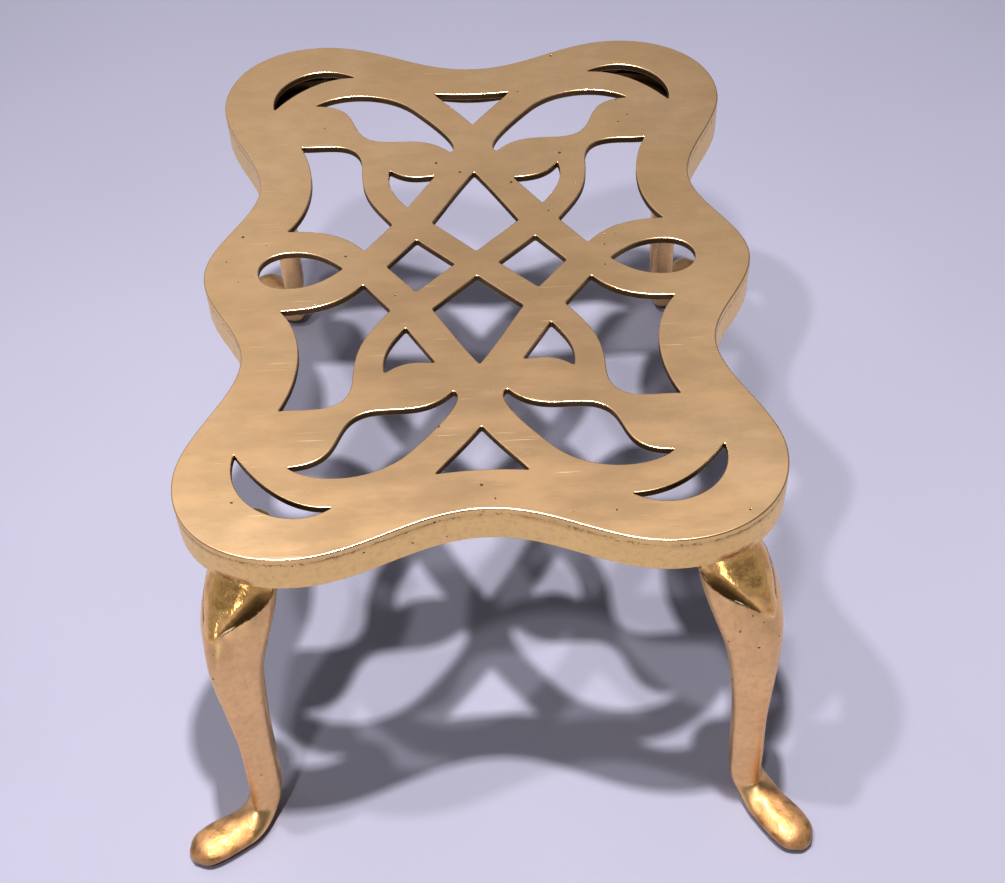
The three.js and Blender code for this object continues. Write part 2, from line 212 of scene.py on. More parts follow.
def sides_at(corner, sides):
    """The sides of one quarter's pattern at a corner, with the corner's lobe in them."""
    result = []
    for side in sides:
        points = []
        for x, y in side:
            across = x / DRAWN_HALF[0]
            along = y / DRAWN_HALF[1]
            share = across * along
            points.append((
                corner["x"] * (across * WIDTH / 2 + share * corner["lobe"][0]),
                corner["y"] * (along * LENGTH / 2 + share * corner["lobe"][1]),
            ))
        result.append(np.array(points))
    return result


def turned_back(sides):
    return [side[::-1] for side in sides[::-1]]


class Path:
    """A line through close points, followed by its length."""

    def __init__(self, points):
        self.points = points
        steps = np.linalg.norm(np.diff(points, axis=0), axis=1)
        self.run = np.concatenate([[0], np.cumsum(steps)])
        self.length = self.run[-1]

    def at(self, distance):
        return np.array([np.interp(distance, self.run, self.points[:, axis]) for axis in (0, 1)]).T

    def way(self, at_end):
        """The way that the path runs, at its end or at its start."""
        step = self.points[-1] - self.points[-2] if at_end else self.points[1] - self.points[0]
        return step / np.linalg.norm(step)


def side_path(side):
    """The path of one side: a straight line between two points, or a curve on four."""
    t = np.linspace(0, 1, BEZIER_STEPS + 1)[:, None]
    if len(side) == 2:
        return Path(side[0] * (1 - t) + side[1] * t)
    a, b, c, d = side
    return Path(a * (1 - t) ** 3 + 3 * b * t * (1 - t) ** 2 + 3 * c * t * t * (1 - t) + d * t ** 3)


def turns_sharply(path, following):
    return path.way(True) @ following.way(False) < math.cos(SHARP_TURN)


def loop_points(sides):
    """Points round a closed chain of sides, with its corners rounded."""
    paths = [side_path(side) for side in sides]
    points = []
    for i, path in enumerate(paths):
        following = paths[(i + 1) % len(paths)]
        rounded = turns_sharply(path, following)
        start = CORNER_ROUND if turns_sharply(paths[i - 1], path) else 0
        end = path.length - (CORNER_ROUND if rounded else 0)
        count = max(2, int((end - start) / EDGE_STEP))
        points.extend(path.at(np.linspace(start, end, count, endpoint=False)))
        if rounded:
            a = path.at(end)
            b = path.at(path.length)
            c = following.at(CORNER_ROUND)
            for k in range(TIP_STEPS):
                t = k / TIP_STEPS
                points.append(a * (1 - t) ** 2 + 2 * b * t * (1 - t) + c * t * t)
    return np.array(points)


def signed_area(points):
    following = np.roll(points, -1, axis=0)
    return 0.5 * np.sum(points[:, 0] * following[:, 1] - following[:, 0] * points[:, 1])


def left_normals(points):
    """Unit vectors to the left of a closed loop at each point."""
    tangent = np.roll(points, -1, axis=0) - np.roll(points, 1, axis=0)
    tangent /= np.linalg.norm(tangent, axis=1)[:, None]
    return np.stack([-tangent[:, 1], tangent[:, 0]], axis=1)


def opening_loops():
    """Every opening, wound so that the metal lies to its left."""
    front_left, front_right, back_left, back_right = CORNERS
    loops = []
    for corner in CORNERS:
        for sides in (BAND_OPENING, LEAF, corner["crescent"], corner["fin"]):
            loops.append(sides_at(corner, sides))
    for sides in (DIAMOND, TRIANGLE):
        for one, other in ((front_right, front_left), (back_right, back_left)):
            loops.append(sides_at(one, sides) + turned_back(sides_at(other, sides)))
    for sides in (SMALL_DIAMOND, LOOP):
        for one, other in ((back_right, front_right), (back_left, front_left)):
            loops.append(sides_at(one, sides) + turned_back(sides_at(other, sides)))
    wound = []
    for loop in loops:
        points = loop_points(loop)
        wound.append(points[::-1] if signed_area(points) > 0 else points)
    return wound


def edge_loop():
    front_left, front_right, back_left, back_right = CORNERS
    return loop_points(
        sides_at(back_right, EDGE)
        + turned_back(sides_at(back_left, EDGE))
        + sides_at(front_left, EDGE)
        + turned_back(sides_at(front_right, EDGE))
    )


edge = edge_loop()
edge_path = Path(np.vstack([edge, edge[:1]]))
edge_inward = left_normals(edge)


def edge_point(distance, inset):
    """A point on the edge, or in from it, at a distance along it."""
    run = distance % edge_path.length
    inward = np.array([np.interp(run, edge_path.run[:-1], edge_inward[:, axis]) for axis in (0, 1)])
    return edge_path.at(run) + inward / np.linalg.norm(inward) * inset


def way_of(corner):
    """The way that a corner's leg faces, from above."""
    angle = math.radians(LEG_ANGLE)
    return np.array([corner["x"] * math.cos(angle), corner["y"] * math.sin(angle)])


def head_of(corner):
    """The head of a corner's leg, from above: in from the edge, beside the tip of the lobe."""
    reach = edge @ way_of(corner)
    tip = edge_path.run[int(np.argmax(reach))]
    return edge_point(tip + corner["x"] * corner["y"] * LEG_OFFSET, LEG_INSET)


# Top and skirt

class Shell:
    """Vertices, their normals and faces, gathered for one mesh."""

    def __init__(self):
        self.points = []
        self.normals = []
        self.faces = []
        self.painted = []

    def ring(self, xy, z, normal_xy, normal_z):
        start = len(self.points)
        for p, n in zip(xy, normal_xy):
            self.points.append((p[0], p[1], z))
            self.normals.append((n[0], n[1], normal_z))
        return list(range(start, len(self.points)))

    def wall(self, loop, profile, paint=0):
        """Rings round a loop with the solid to its left. The profile gives inset, height and slope."""
        inward = left_normals(loop)
        rings = []
        for inset, z, slope in profile:
            normal = -inward * math.cos(slope)
            rings.append(self.ring(loop + inward * inset, z, normal, math.sin(slope)))
        for step, (lower, upper) in enumerate(zip(rings, rings[1:])):
            count = len(lower)
            # Only the upright band between the arrises is painted
            if step == ARC_STEPS:
                self.painted.extend((len(self.faces) + i, paint) for i in range(count))
            for i in range(count):
                j = (i + 1) % count
                self.faces.append((lower[i], lower[j], upper[j], upper[i]))
        return rings[0], rings[-1]

    def cap(self, rings, up, paint=0):
        """A flat face inside the first ring and outside the others."""
        order = [index for ring in rings for index in ring]
        polygons = [[Vector(self.points[index]) for index in ring] for ring in rings]
        for a, b, c in tessellate_polygon(polygons):
            triangle = [order[a], order[b], order[c]]
            p, q, r = (np.array(self.points[index][:2]) for index in triangle)
            turn = (q - p)[0] * (r - p)[1] - (q - p)[1] * (r - p)[0]
            if (turn > 0) != up:
                triangle.reverse()
            self.painted.append((len(self.faces), paint))
            self.faces.append(tuple(triangle))

    def mesh(self, name):
        data = bpy.data.meshes.new(name)
        data.from_pydata([tuple(c * MM for c in p) for p in self.points], [], self.faces)
        data.shade_smooth()
        for index, paint in self.painted:
            data.polygons[index].material_index = paint
        data.normals_split_custom_set_from_vertices(self.normals)
        return data


def rounded_profile(bottom, top, lower, upper):
    """Inset, height and slope up over both arrises. With no upper arris it ends in one plain ring."""
    profile = []
    for k in range(ARC_STEPS + 1):
        slope = math.radians(-90 + 90 * k / ARC_STEPS)
        profile.append((lower * (1 - math.cos(slope)), bottom + lower * (1 + math.sin(slope)), slope))
    for k in range(ARC_STEPS + 1 if upper else 1):
        slope = math.radians(90 * k / ARC_STEPS)
        profile.append((upper * (1 - math.cos(slope)), top - upper * (1 - math.sin(slope)), slope))
    return profile


def circle(x, y, radius):
    turn = np.linspace(0, 2 * math.pi, BOSS_SIDES, endpoint=False)
    return np.stack([x + radius * np.cos(turn), y + radius * np.sin(turn)], axis=1)


def screw_centre(name):
    low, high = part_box(name)
    return [(low[axis] + high[axis]) / 2 / MM for axis in (0, 1)]


def top_mesh():
    """The pierced plate, and under it a boss with a blind hole for each screw."""
    shell = Shell()
    rim = rounded_profile(PLATE_BOTTOM, HEIGHT, SEAM_ARRIS, TOP_ARRIS)
    sawn = rounded_profile(PLATE_BOTTOM, HEIGHT, LOWER_ARRIS, SAWN_ARRIS)
    boss = rounded_profile(FLANGE_TOP, PLATE_BOTTOM, LOWER_ARRIS, 0)
    ends = [shell.wall(edge, rim, RIM_PAINT)]
    ends += [shell.wall(loop, sawn, SAWN_PAINT) for loop in opening_loops()]
    shell.cap([upper for _, upper in ends], True)
    underside = [lower for lower, _ in ends]
    no_slope = np.zeros((BOSS_SIDES, 2))
    for name in SCREWS:
        x, y = screw_centre(name)
        outside = circle(x, y, BOSS_DIAMETER / 2)
        hole = circle(x, y, HOLE_DIAMETER / 2)
        outer, _ = shell.wall(outside, boss, SAWN_PAINT)
        inner, _ = shell.wall(hole[::-1], boss, SAWN_PAINT)
        shell.cap([outer, inner], False, SAWN_PAINT)
        underside.append(shell.ring(outside, PLATE_BOTTOM, no_slope, -1))
        shell.cap([shell.ring(hole, PLATE_BOTTOM, no_slope, -1)], False, SAWN_PAINT)
    shell.cap(underside, False, SAWN_PAINT)
    return shell.mesh("top")


def skirt_mesh():
    shell = Shell()
    profile = rounded_profile(SKIRT_BOTTOM, PLATE_BOTTOM, SKIRT_ARRIS, SEAM_ARRIS)
    inside = (edge + edge_inward * SKIRT_WALL)[::-1]
    ends = [shell.wall(edge, profile), shell.wall(inside, profile, SAWN_PAINT)]
    shell.cap([lower for lower, _ in ends], False)
    shell.cap([upper for _, upper in ends], True)
    return shell.mesh("skirt_band")


# Legs

# Where a section's points lie, as turns from a point between ridge and side and as angles from the ridge
RING_TURNS = np.linspace(0, 2 * math.pi, LEG_SIDES, endpoint=False)
RING_ANGLES = (RING_TURNS - math.pi / 4 + math.pi) % (2 * math.pi) - math.pi

# Polished zones of a leg. The knee is polished down to a height on its ridge, and the foot from a run short
# of the toe. Both borders lie higher or further on round from the ridge: by how much at the side angle, and
# the power that they rise by.
ZONES = ("knee_polish", "foot_polish", "hollow")
KNEE_POLISH = (121.5, 14.5, 0.8)
FOOT_POLISH = (-31, 8, 0.7)
SIDE_ANGLE = math.radians(100)

# The knee's step over the shank and how it fades, and its grooves: angle from the ridge, width and depth
KNEE_STEP = 0.9
KNEE_LIP = 8
SHANK_FADE = 16
KNEE_GROOVES = [(20, 7, 0.4), (-20, 7, 0.4)]
GROOVE_FADE = 3

# A leaf-shaped hollow low on either side of the knee: its angles from the ridge, height, form and depth
HOLLOW_FROM = 12
HOLLOW_TO = 105
HOLLOW_HEIGHT = 9.5
HOLLOW_POWER = 0.8
HOLLOW_DEPTH = 0.6
HOLLOW_FADE = 3

# Dents where a leg is polished, with finer ones on top of them, and a mean that keeps most of them inward
DENT_SPACING = 5.5
DENT_DEPTH = 0.3
DENT_MEAN = 0.6
DENT_FADE = 3
FINE_DENT_RATE = 2.3
FINE_DENT_SHARE = 0.5

# The neck's lower end is welded, drawn in and sunk into the knee, so that no gap shows between them
NECK_WELD = 0.001
NECK_SUNK = 1.5
NECK_SUNK_SCALE = 0.85


def ankle_share(height):
    """How far down the leg a height is, from 0 at the shoulder to 1 at the ankle."""
    drop = min(max((SHOULDER - height) / (SHOULDER - ANKLE_HEIGHT), 0), 1)
    return math.sin(drop * math.pi / 2)


def leg_sections(slim):
    """Out, height, lean, half, breadth and squareness of each section, from the neck to the toe."""
    rows = []
    for up, out, lean, half, square in SHANK:
        height = ANKLE_HEIGHT + up * (SHOULDER - ANKLE_HEIGHT)
        girth = half * (1 - slim * ankle_share(height))
        rows.append((out, height, lean, girth, girth, square))
    neck = (rows[0][0], NECK_TOP, *rows[0][2:])
    for height, reach, lean, half, breadth, square in FOOT:
        rows.append((ANKLE_OUT + reach, height, lean, half, breadth, square))
    return np.array([neck, *rows], dtype=float)


def smooth_sections(rows, count):
    """The same sections, closer together, on smooth curves through them, with their run down the leg."""
    run = np.concatenate([[0], np.cumsum(np.linalg.norm(np.diff(rows[:, :2], axis=0), axis=1))])
    slopes = np.diff(rows, axis=0) / np.diff(run)[:, None]
    level = np.zeros_like(rows[:1])
    tangents = np.vstack([level, (slopes[:-1] + slopes[1:]) / 2, level])
    runs = np.linspace(0, run[-1], count + 1)
    smooth = []
    for now in runs:
        i = min(int(np.searchsorted(run, now, side="right")), len(run) - 1)
        length = run[i] - run[i - 1]
        p = (now - run[i - 1]) / length
        smooth.append(
            rows[i - 1] * (2 * p ** 3 - 3 * p ** 2 + 1)
            + tangents[i - 1] * length * (p ** 3 - 2 * p ** 2 + p)
            + rows[i] * (3 * p ** 2 - 2 * p ** 3)
            + tangents[i] * length * (p ** 3 - p ** 2)
        )
    return np.array(smooth), runs


def leg_ring(section, scale=1.0):
    """Points round one section, in the leg's own plane: out, across and height."""
    out, height, lean, half, breadth, square = section
    rounding = np.abs(np.cos(RING_TURNS)) ** square + np.abs(np.sin(RING_TURNS)) ** square
    size = rounding ** (-1 / square) * scale
    ridge = size * np.cos(RING_ANGLES) * half
    across = size * np.sin(RING_ANGLES) * breadth
    angle = math.radians(lean)
    return np.stack([out + ridge * math.cos(angle), across, height + ridge * math.sin(angle)], axis=1)


def zone_depths(ring, run_to_toe):
    """How far inside the polished knee, the polished foot and the knee's hollows a ring's points lie."""
    turn = np.abs(RING_ANGLES) / SIDE_ANGLE
    low, rise, power = KNEE_POLISH
    knee = ring[:, 2] - (low + rise * turn ** power)
    start, spread, power = FOOT_POLISH
    foot = -run_to_toe - (start + spread * turn ** power)
    from_ridge = (np.degrees(np.abs(RING_ANGLES)) - HOLLOW_FROM) / (HOLLOW_TO - HOLLOW_FROM)
    leaf = np.sin(np.clip(from_ridge, 0, 1) * math.pi) ** HOLLOW_POWER
    return knee, foot, np.where(knee > 0, HOLLOW_HEIGHT * leaf - knee, -1)


def knee_relief(depth, angle):
    """How far the knee's surface stands out: full above, drawn in at its border, grooved by the ridge."""
    if depth < 0:
        return -KNEE_STEP * (1 - smooth_share(-depth / SHANK_FADE))
    lip = KNEE_STEP * (math.sqrt(max(1 - (1 - min(depth / KNEE_LIP, 1)) ** 2, 0)) - 1)
    degrees = math.degrees(angle)
    groove = sum(cut * math.exp(-((degrees - at) / width) ** 2) for at, width, cut in KNEE_GROOVES)
    return lip - groove * smooth_share(depth / GROOVE_FADE)


def worked(ring, knee, foot, hollow):
    """The same ring with the knee's relief, and shallow dents where it is polished."""
    middle = ring.mean(axis=0)
    result = []
    for point, angle, knee_depth, foot_depth, hollow_depth in zip(ring, RING_ANGLES, knee, foot, hollow):
        place = Vector(point) / DENT_SPACING
        dent = noise.noise(place) + FINE_DENT_SHARE * noise.noise(place * FINE_DENT_RATE) + DENT_MEAN
        out = -DENT_DEPTH * dent * smooth_share(max(knee_depth, foot_depth) / DENT_FADE)
        out += knee_relief(knee_depth, angle) - HOLLOW_DEPTH * smooth_share(hollow_depth / HOLLOW_FADE)
        result.append(point + (point - middle) / np.linalg.norm(point - middle) * out)
    return np.array(result)


def leg_rings(slim):
    """Rings from the rounded shoulder down to the toe, and the depths of their points in each zone."""
    sections, runs = smooth_sections(leg_sections(slim), LEG_RINGS)
    rings = []
    ring_runs = []
    for k in range(ARC_STEPS + 1):
        slope = math.radians(90 * (1 - k / ARC_STEPS))
        section = sections[0].copy()
        section[1] = SHOULDER - KNEE_ARRIS * (1 - math.sin(slope))
        rings.append(leg_ring(section, 1 - KNEE_ARRIS * (1 - math.cos(slope)) / section[3]))
        ring_runs.append(0)
    for section, run in zip(sections, runs):
        if section[1] < SHOULDER - KNEE_ARRIS - RING_GAP:
            rings.append(leg_ring(section))
            ring_runs.append(run)
    for advance, scale in TOE_ROUNDING:
        section = sections[-1].copy()
        section[0] += advance
        rings.append(leg_ring(section, scale))
        ring_runs.append(runs[-1])
    depths = [zone_depths(ring, runs[-1] - run) for ring, run in zip(rings, ring_runs)]
    return [worked(ring, *zones) for ring, zones in zip(rings, depths)], depths


def placed(corner, points):
    """Points of a leg's own plane, where hand setting put them on the stand, and their share of the foot."""
    head = head_of(corner)
    way = way_of(corner)
    result = []
    shares = []
    for out, across, height in points:
        past = out - ANKLE_OUT
        turned = smooth_share(past / FOOT_TURN_REACH)
        angle = math.radians(corner["turn"] * turned)
        out_turned = ANKLE_OUT + past * math.cos(angle) - across * math.sin(angle)
        side = corner["x"] * corner["y"] * (past * math.sin(angle) + across * math.cos(angle))
        share = ankle_share(height)
        shift = [
            corner["head"][axis] * (1 - share) + corner["ankle"][axis] * share + corner["foot"][axis] * turned
            for axis in (0, 1)
        ]
        result.append([
            head[0] + out_turned * way[0] - side * way[1] + shift[0],
            head[1] + out_turned * way[1] + side * way[0] + shift[1],
            max(height, 0),
        ])
        shares.append(turned)
    return result, shares


def hold_inside(corner, points, shares):
    """Draws the foot back, so that the toe stays inside the box of the frame's leg."""
    low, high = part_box(f"leg_{corner['name']}")
    for axis, sign in enumerate((corner["x"], corner["y"])):
        limit = max(sign * low[axis], sign * high[axis]) / MM
        excess = max(sign * point[axis] for point in points) - limit
        if excess > 0:
            for point, share in zip(points, shares):
                point[axis] -= sign * excess * share


def loft_mesh(name, points, flip):
    """A closed skin over rings of points, with its faces turned over where a corner mirrors the leg."""
    faces = []
    last = len(points) - LEG_SIDES
    for a in range(0, last, LEG_SIDES):
        b = a + LEG_SIDES
        for i in range(LEG_SIDES):
            j = (i + 1) % LEG_SIDES
            faces.append((a + i, b + i, b + j, a + j))
    faces.append(tuple(range(LEG_SIDES)))
    faces.append(tuple(range(last, len(points)))[::-1])
    mesh = bpy.data.meshes.new(name)
    turned = [face[::-1] for face in faces] if flip else faces
    mesh.from_pydata([tuple(c * MM for c in p) for p in points], [], turned)
    mesh.shade_smooth()
    return mesh


def neck_mesh(name):
    """The frame's leg above the knee, as a closed shell whose lower end is sunk into the knee."""
    neck = bmesh.new()
    neck.from_mesh(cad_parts[f"leg_{name}"].data)
    bmesh.ops.remove_doubles(neck, verts=neck.verts, dist=NECK_WELD * MM)
    everything = [*neck.verts, *neck.edges, *neck.faces]
    plane = (0, 0, (SHOULDER + SHOULDER_GAP / 2) * MM)
    cut = bmesh.ops.bisect_plane(neck, geom=everything, plane_co=plane, plane_no=(0, 0, -1), clear_outer=True)
    rim = [part for part in cut["geom_cut"] if isinstance(part, bmesh.types.BMEdge)]
    sole = bmesh.ops.edgeloop_fill(neck, edges=rim)["faces"][0]
    middle = sole.calc_center_median()
    loop = list(sole.verts)
    neck.faces.remove(sole)
    first = min(range(len(loop)), key=lambda i: tuple(loop[i].co))
    loop = loop[first:] + loop[:first]
    drop = Vector((0, 0, NECK_SUNK * MM))
    sunk = [neck.verts.new(middle + (vert.co - middle) * NECK_SUNK_SCALE - drop) for vert in loop]
    for i, vert in enumerate(loop):
        neck.faces.new((loop[i - 1], vert, sunk[i], sunk[i - 1]))
    neck.faces.new(sunk)
    mesh = bpy.data.meshes.new(f"{name}_neck")
    neck.to_mesh(mesh)
    neck.free()
    mesh.shade_flat()
    for zone in ZONES:
        mesh.attributes.new(zone, "FLOAT", "POINT")
    return mesh


def linked(name, data, *materials):
    piece = bpy.data.objects.new(name, data)
    bpy.context.scene.collection.objects.link(piece)
    for material in materials:
        data.materials.append(material)
    return piece


def leg_piece(corner, brass, dull_shaded_brass):
    """The leg below the skirt as a fine loft, and the neck and flange above it from the frame."""
    name = corner["name"]
    rings, depths = leg_rings(corner["slim"])
    points, shares = placed(corner, np.vstack(rings))
    hold_inside(corner, points, shares)
    mesh = loft_mesh(f"{name}_loft", points, corner["x"] * corner["y"] < 0)
    for i, zone in enumerate(ZONES):
        values = np.concatenate([ring_depths[i] for ring_depths in depths])
        mesh.attributes.new(zone, "FLOAT", "POINT").data.foreach_set("value", values)
    neck = neck_mesh(name)
    whole = bmesh.new()
    whole.from_mesh(mesh)
    loft_faces = len(whole.faces)
    whole.from_mesh(neck)
    whole.faces.ensure_lookup_table()
    for face in whole.faces[loft_faces:]:
        face.material_index = NECK_PAINT
        face.smooth = False
    whole.to_mesh(mesh)
    whole.free()
    bpy.data.meshes.remove(neck)
    piece = linked(f"{name}_leg", mesh, brass, dull_shaded_brass)
    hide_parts(f"leg_{name}")
    return piece


# Materials. Their lengths are in metres, and noise scales are per metre.

# How wide a pit's wall is, and how deep the bump makes it
PIT_SLOPE = 0.0002
PIT_DEPTH = 0.0003


class Nodes:
    """The nodes of a material or of the world, added and linked in few words."""

    def __init__(self, owner):
        owner.use_nodes = True
        self.tree = owner.node_tree
        self.coordinates = self.add("ShaderNodeTexCoord").outputs

    def add(self, kind, inputs=None, **settings):
        node = self.tree.nodes.new(kind)
        for key, value in settings.items():
            setattr(node, key, value)
        for key, value in (inputs or {}).items():
            self.put(value, node.inputs[key])
        return node

    def put(self, value, socket):
        if isinstance(value, bpy.types.NodeSocket):
            self.tree.links.new(value, socket)
        else:
            socket.default_value = value


class Surface(Nodes):
    """A material: its shader, and patterns for it."""

    def __init__(self, name, metallic=1.0):
        self.material = bpy.data.materials.new(name)
        super().__init__(self.material)
        self.place = self.coordinates["Object"]
        self.shader = self.tree.nodes["Principled BSDF"]
        self.shader.inputs["Metallic"].default_value = metallic

    def shade(self, **values):
        """Links values to the shader's own sockets, under their names with _ for a space."""
        for name, value in values.items():
            self.put(value, self.shader.inputs[name.replace("_", " ")])

    def math(self, operation, *values):
        return self.add("ShaderNodeMath", dict(enumerate(values)), operation=operation).outputs[0]

    def times(self, first, second):
        return self.math("MULTIPLY", first, second)

    def scaled(self, x, y, z):
        return self.add("ShaderNodeMapping", {"Vector": self.place, "Scale": (x, y, z)}).outputs[0]

    def noise(self, scale, detail=2.0, roughness=0.5, vector=None):
        inputs = {"Vector": vector or self.place, "Scale": scale, "Detail": detail, "Roughness": roughness}
        return self.add("ShaderNodeTexNoise", inputs).outputs["Fac"]

    def drawn_noise(self, scales, detail, roughness):
        """Noise drawn out along the axes whose scales are low."""
        return self.noise(1.0, detail, roughness, self.scaled(*scales))

    def step(self, value, low, high, start=0.0, end=1.0):
        inputs = {"Value": value, "From Min": low, "From Max": high, "To Min": start, "To Max": end}
        return self.add("ShaderNodeMapRange", inputs, interpolation_type="SMOOTHSTEP").outputs[0]

    def fall(self, value, low, high, start=1.0):
        """The same as a step, but from a start down to 0."""
        return self.step(value, low, high, start, 0.0)

    def mixed(self, kind, share, first, second):
        node = self.add("ShaderNodeMix", data_type="RGBA" if kind == "Color" else "FLOAT")
        sockets = {socket.identifier: socket for socket in node.inputs}
        self.put(share, sockets["Factor_Float"])
        self.put(first, sockets[f"A_{kind}"])
        self.put(second, sockets[f"B_{kind}"])
        return next(socket for socket in node.outputs if socket.identifier == f"Result_{kind}")

    def mix(self, share, first, second):
        """One colour, changing to a second by a share."""
        return self.mixed("Color", share, first, second)

    def blend(self, share, first, second):
        """One number, changing to a second by a share."""
        return self.mixed("Float", share, first, second)

    def bump(self, height, distance, before=None):
        inputs = {"Height": height, "Distance": distance, "Strength": 1.0}
        if before is not None:
            inputs["Normal"] = before
        return self.add("ShaderNodeBump", inputs).outputs[0]

    def pits(self, spacing, radius, length=1.0):
        """Pits up to a radius in some cells of a spacing, in places only, and so many times as long."""
        vector = self.scaled(1 / spacing, 1 / spacing, 1 / spacing / length)
        cells = self.add("ShaderNodeTexVoronoi", {"Vector": vector, "Scale": 1.0})
        chance = self.add("ShaderNodeSeparateColor", {"Color": cells.outputs["Color"]}).outputs[0]
        chosen = self.step(chance, 0.5, 0.9)
        patchy = self.step(self.noise(28.0, 3.0), 0.38, 0.58)
        reach = self.times(self.times(chosen, patchy), radius)
        near = self.times(cells.outputs["Distance"], spacing)
        return self.fall(self.math("SUBTRACT", near, reach), -PIT_SLOPE, 0.0)


# Painted shade dims the middle of the plate's front half: where, and half the patch's width and length
SHADE_MIDDLE = -0.065
SHADE_HALF = (0.1, 0.175)

PLATE_DEEP = (0.90, 0.64, 0.39, 1)
PLATE_PALE = (0.96, 0.705, 0.455, 1)
PLATE_PATINA = (0.74, 0.54, 0.33, 1)
# Painted shade for the middle of the front half
PLATE_SHADED = (0.67, 0.475, 0.295, 1)
PLATE_SMUDGE = (0.76, 0.54, 0.34, 1)
PLATE_SCRATCH = (0.98, 0.84, 0.64, 1)
PLATE_PIT = (0.16, 0.09, 0.04, 1)


def top_material():
    """Brushed across, with a patch of painted shade, soft blotches, scratches and pits."""
    nodes = Surface("top_brass")
    cloud = nodes.noise(26.0, 5.0, 0.6)
    patina = nodes.drawn_noise((90, 150, 150), 5.0, 0.65)
    smudge = nodes.drawn_noise((30, 90, 90), 4.0, 0.6)
    brushed = nodes.drawn_noise((70, 2200, 2200), 3.0, 0.6)
    scratch = nodes.step(nodes.drawn_noise((45, 1500, 1500), 2.0, 0.5), 0.69, 0.78)
    pits = nodes.pits(spacing=0.005, radius=0.0006)
    across, along = SHADE_HALF
    from_shade = {0: nodes.scaled(1 / across, 1 / along, 0), 1: (0, -SHADE_MIDDLE / along, 0)}
    from_shade = nodes.add("ShaderNodeVectorMath", from_shade, operation="ADD").outputs["Vector"]
    off_shade = nodes.add("ShaderNodeVectorMath", {0: from_shade}, operation="LENGTH").outputs["Value"]
    colour = nodes.mix(nodes.step(cloud, 0.3, 0.7), PLATE_DEEP, PLATE_PALE)
    colour = nodes.mix(nodes.fall(patina, 0.35, 0.65, 0.3), colour, PLATE_PATINA)
    # Painted shade: the middle of the front half is darker
    colour = nodes.mix(nodes.fall(off_shade, 0.3, 1.0, 0.7), colour, PLATE_SHADED)
    colour = nodes.mix(nodes.step(smudge, 0.35, 0.75, 0.0, 0.25), colour, PLATE_SMUDGE)
    colour = nodes.mix(nodes.times(scratch, 0.2), colour, PLATE_SCRATCH)
    colour = nodes.mix(pits, colour, PLATE_PIT)
    rough = nodes.blend(nodes.step(smudge, 0.3, 0.7), 0.24, 0.31)
    rough = nodes.blend(scratch, rough, 0.4)
    rough = nodes.blend(pits, rough, 0.6)
    normal = nodes.bump(nodes.noise(16.0, 1.0), 0.0006)
    normal = nodes.bump(brushed, 0.000008, normal)
    normal = nodes.bump(pits, -PIT_DEPTH, normal)
    nodes.shade(Base_Color=colour, Roughness=rough, Normal=normal)
    return nodes.material


# Brown patches on the skirt's lower edge, over the front knees: their middles, and between which
# heights above the edge they fade, both in millimetres, and between which distances from the middle
KNEE_PATCHES = [(-85.5, -133.0, 149.5), (84.5, -131.5, 149.5)]
KNEE_PATCH_HEIGHT = (1.5, 4.5)
KNEE_PATCH_REACH = (0.004, 0.009)

# How far from the seam its dark line, its crumbs and its stain fade out
SEAM_HALF = (0.00005, 0.0003)
CRUMBS_REACH = (0.0003, 0.0012)
SEAM_STAIN = 0.003

SKIRT_DEEP = (0.92, 0.68, 0.335, 1)
SKIRT_PALE = (1.0, 0.75, 0.385, 1)
SKIRT_MOTTLE = (0.70, 0.48, 0.24, 1)
SKIRT_BROWN_PATCH = (0.50, 0.25, 0.09, 1)
SKIRT_STAIN = (0.55, 0.38, 0.20, 1)
SKIRT_PIT = (0.12, 0.07, 0.04, 1)


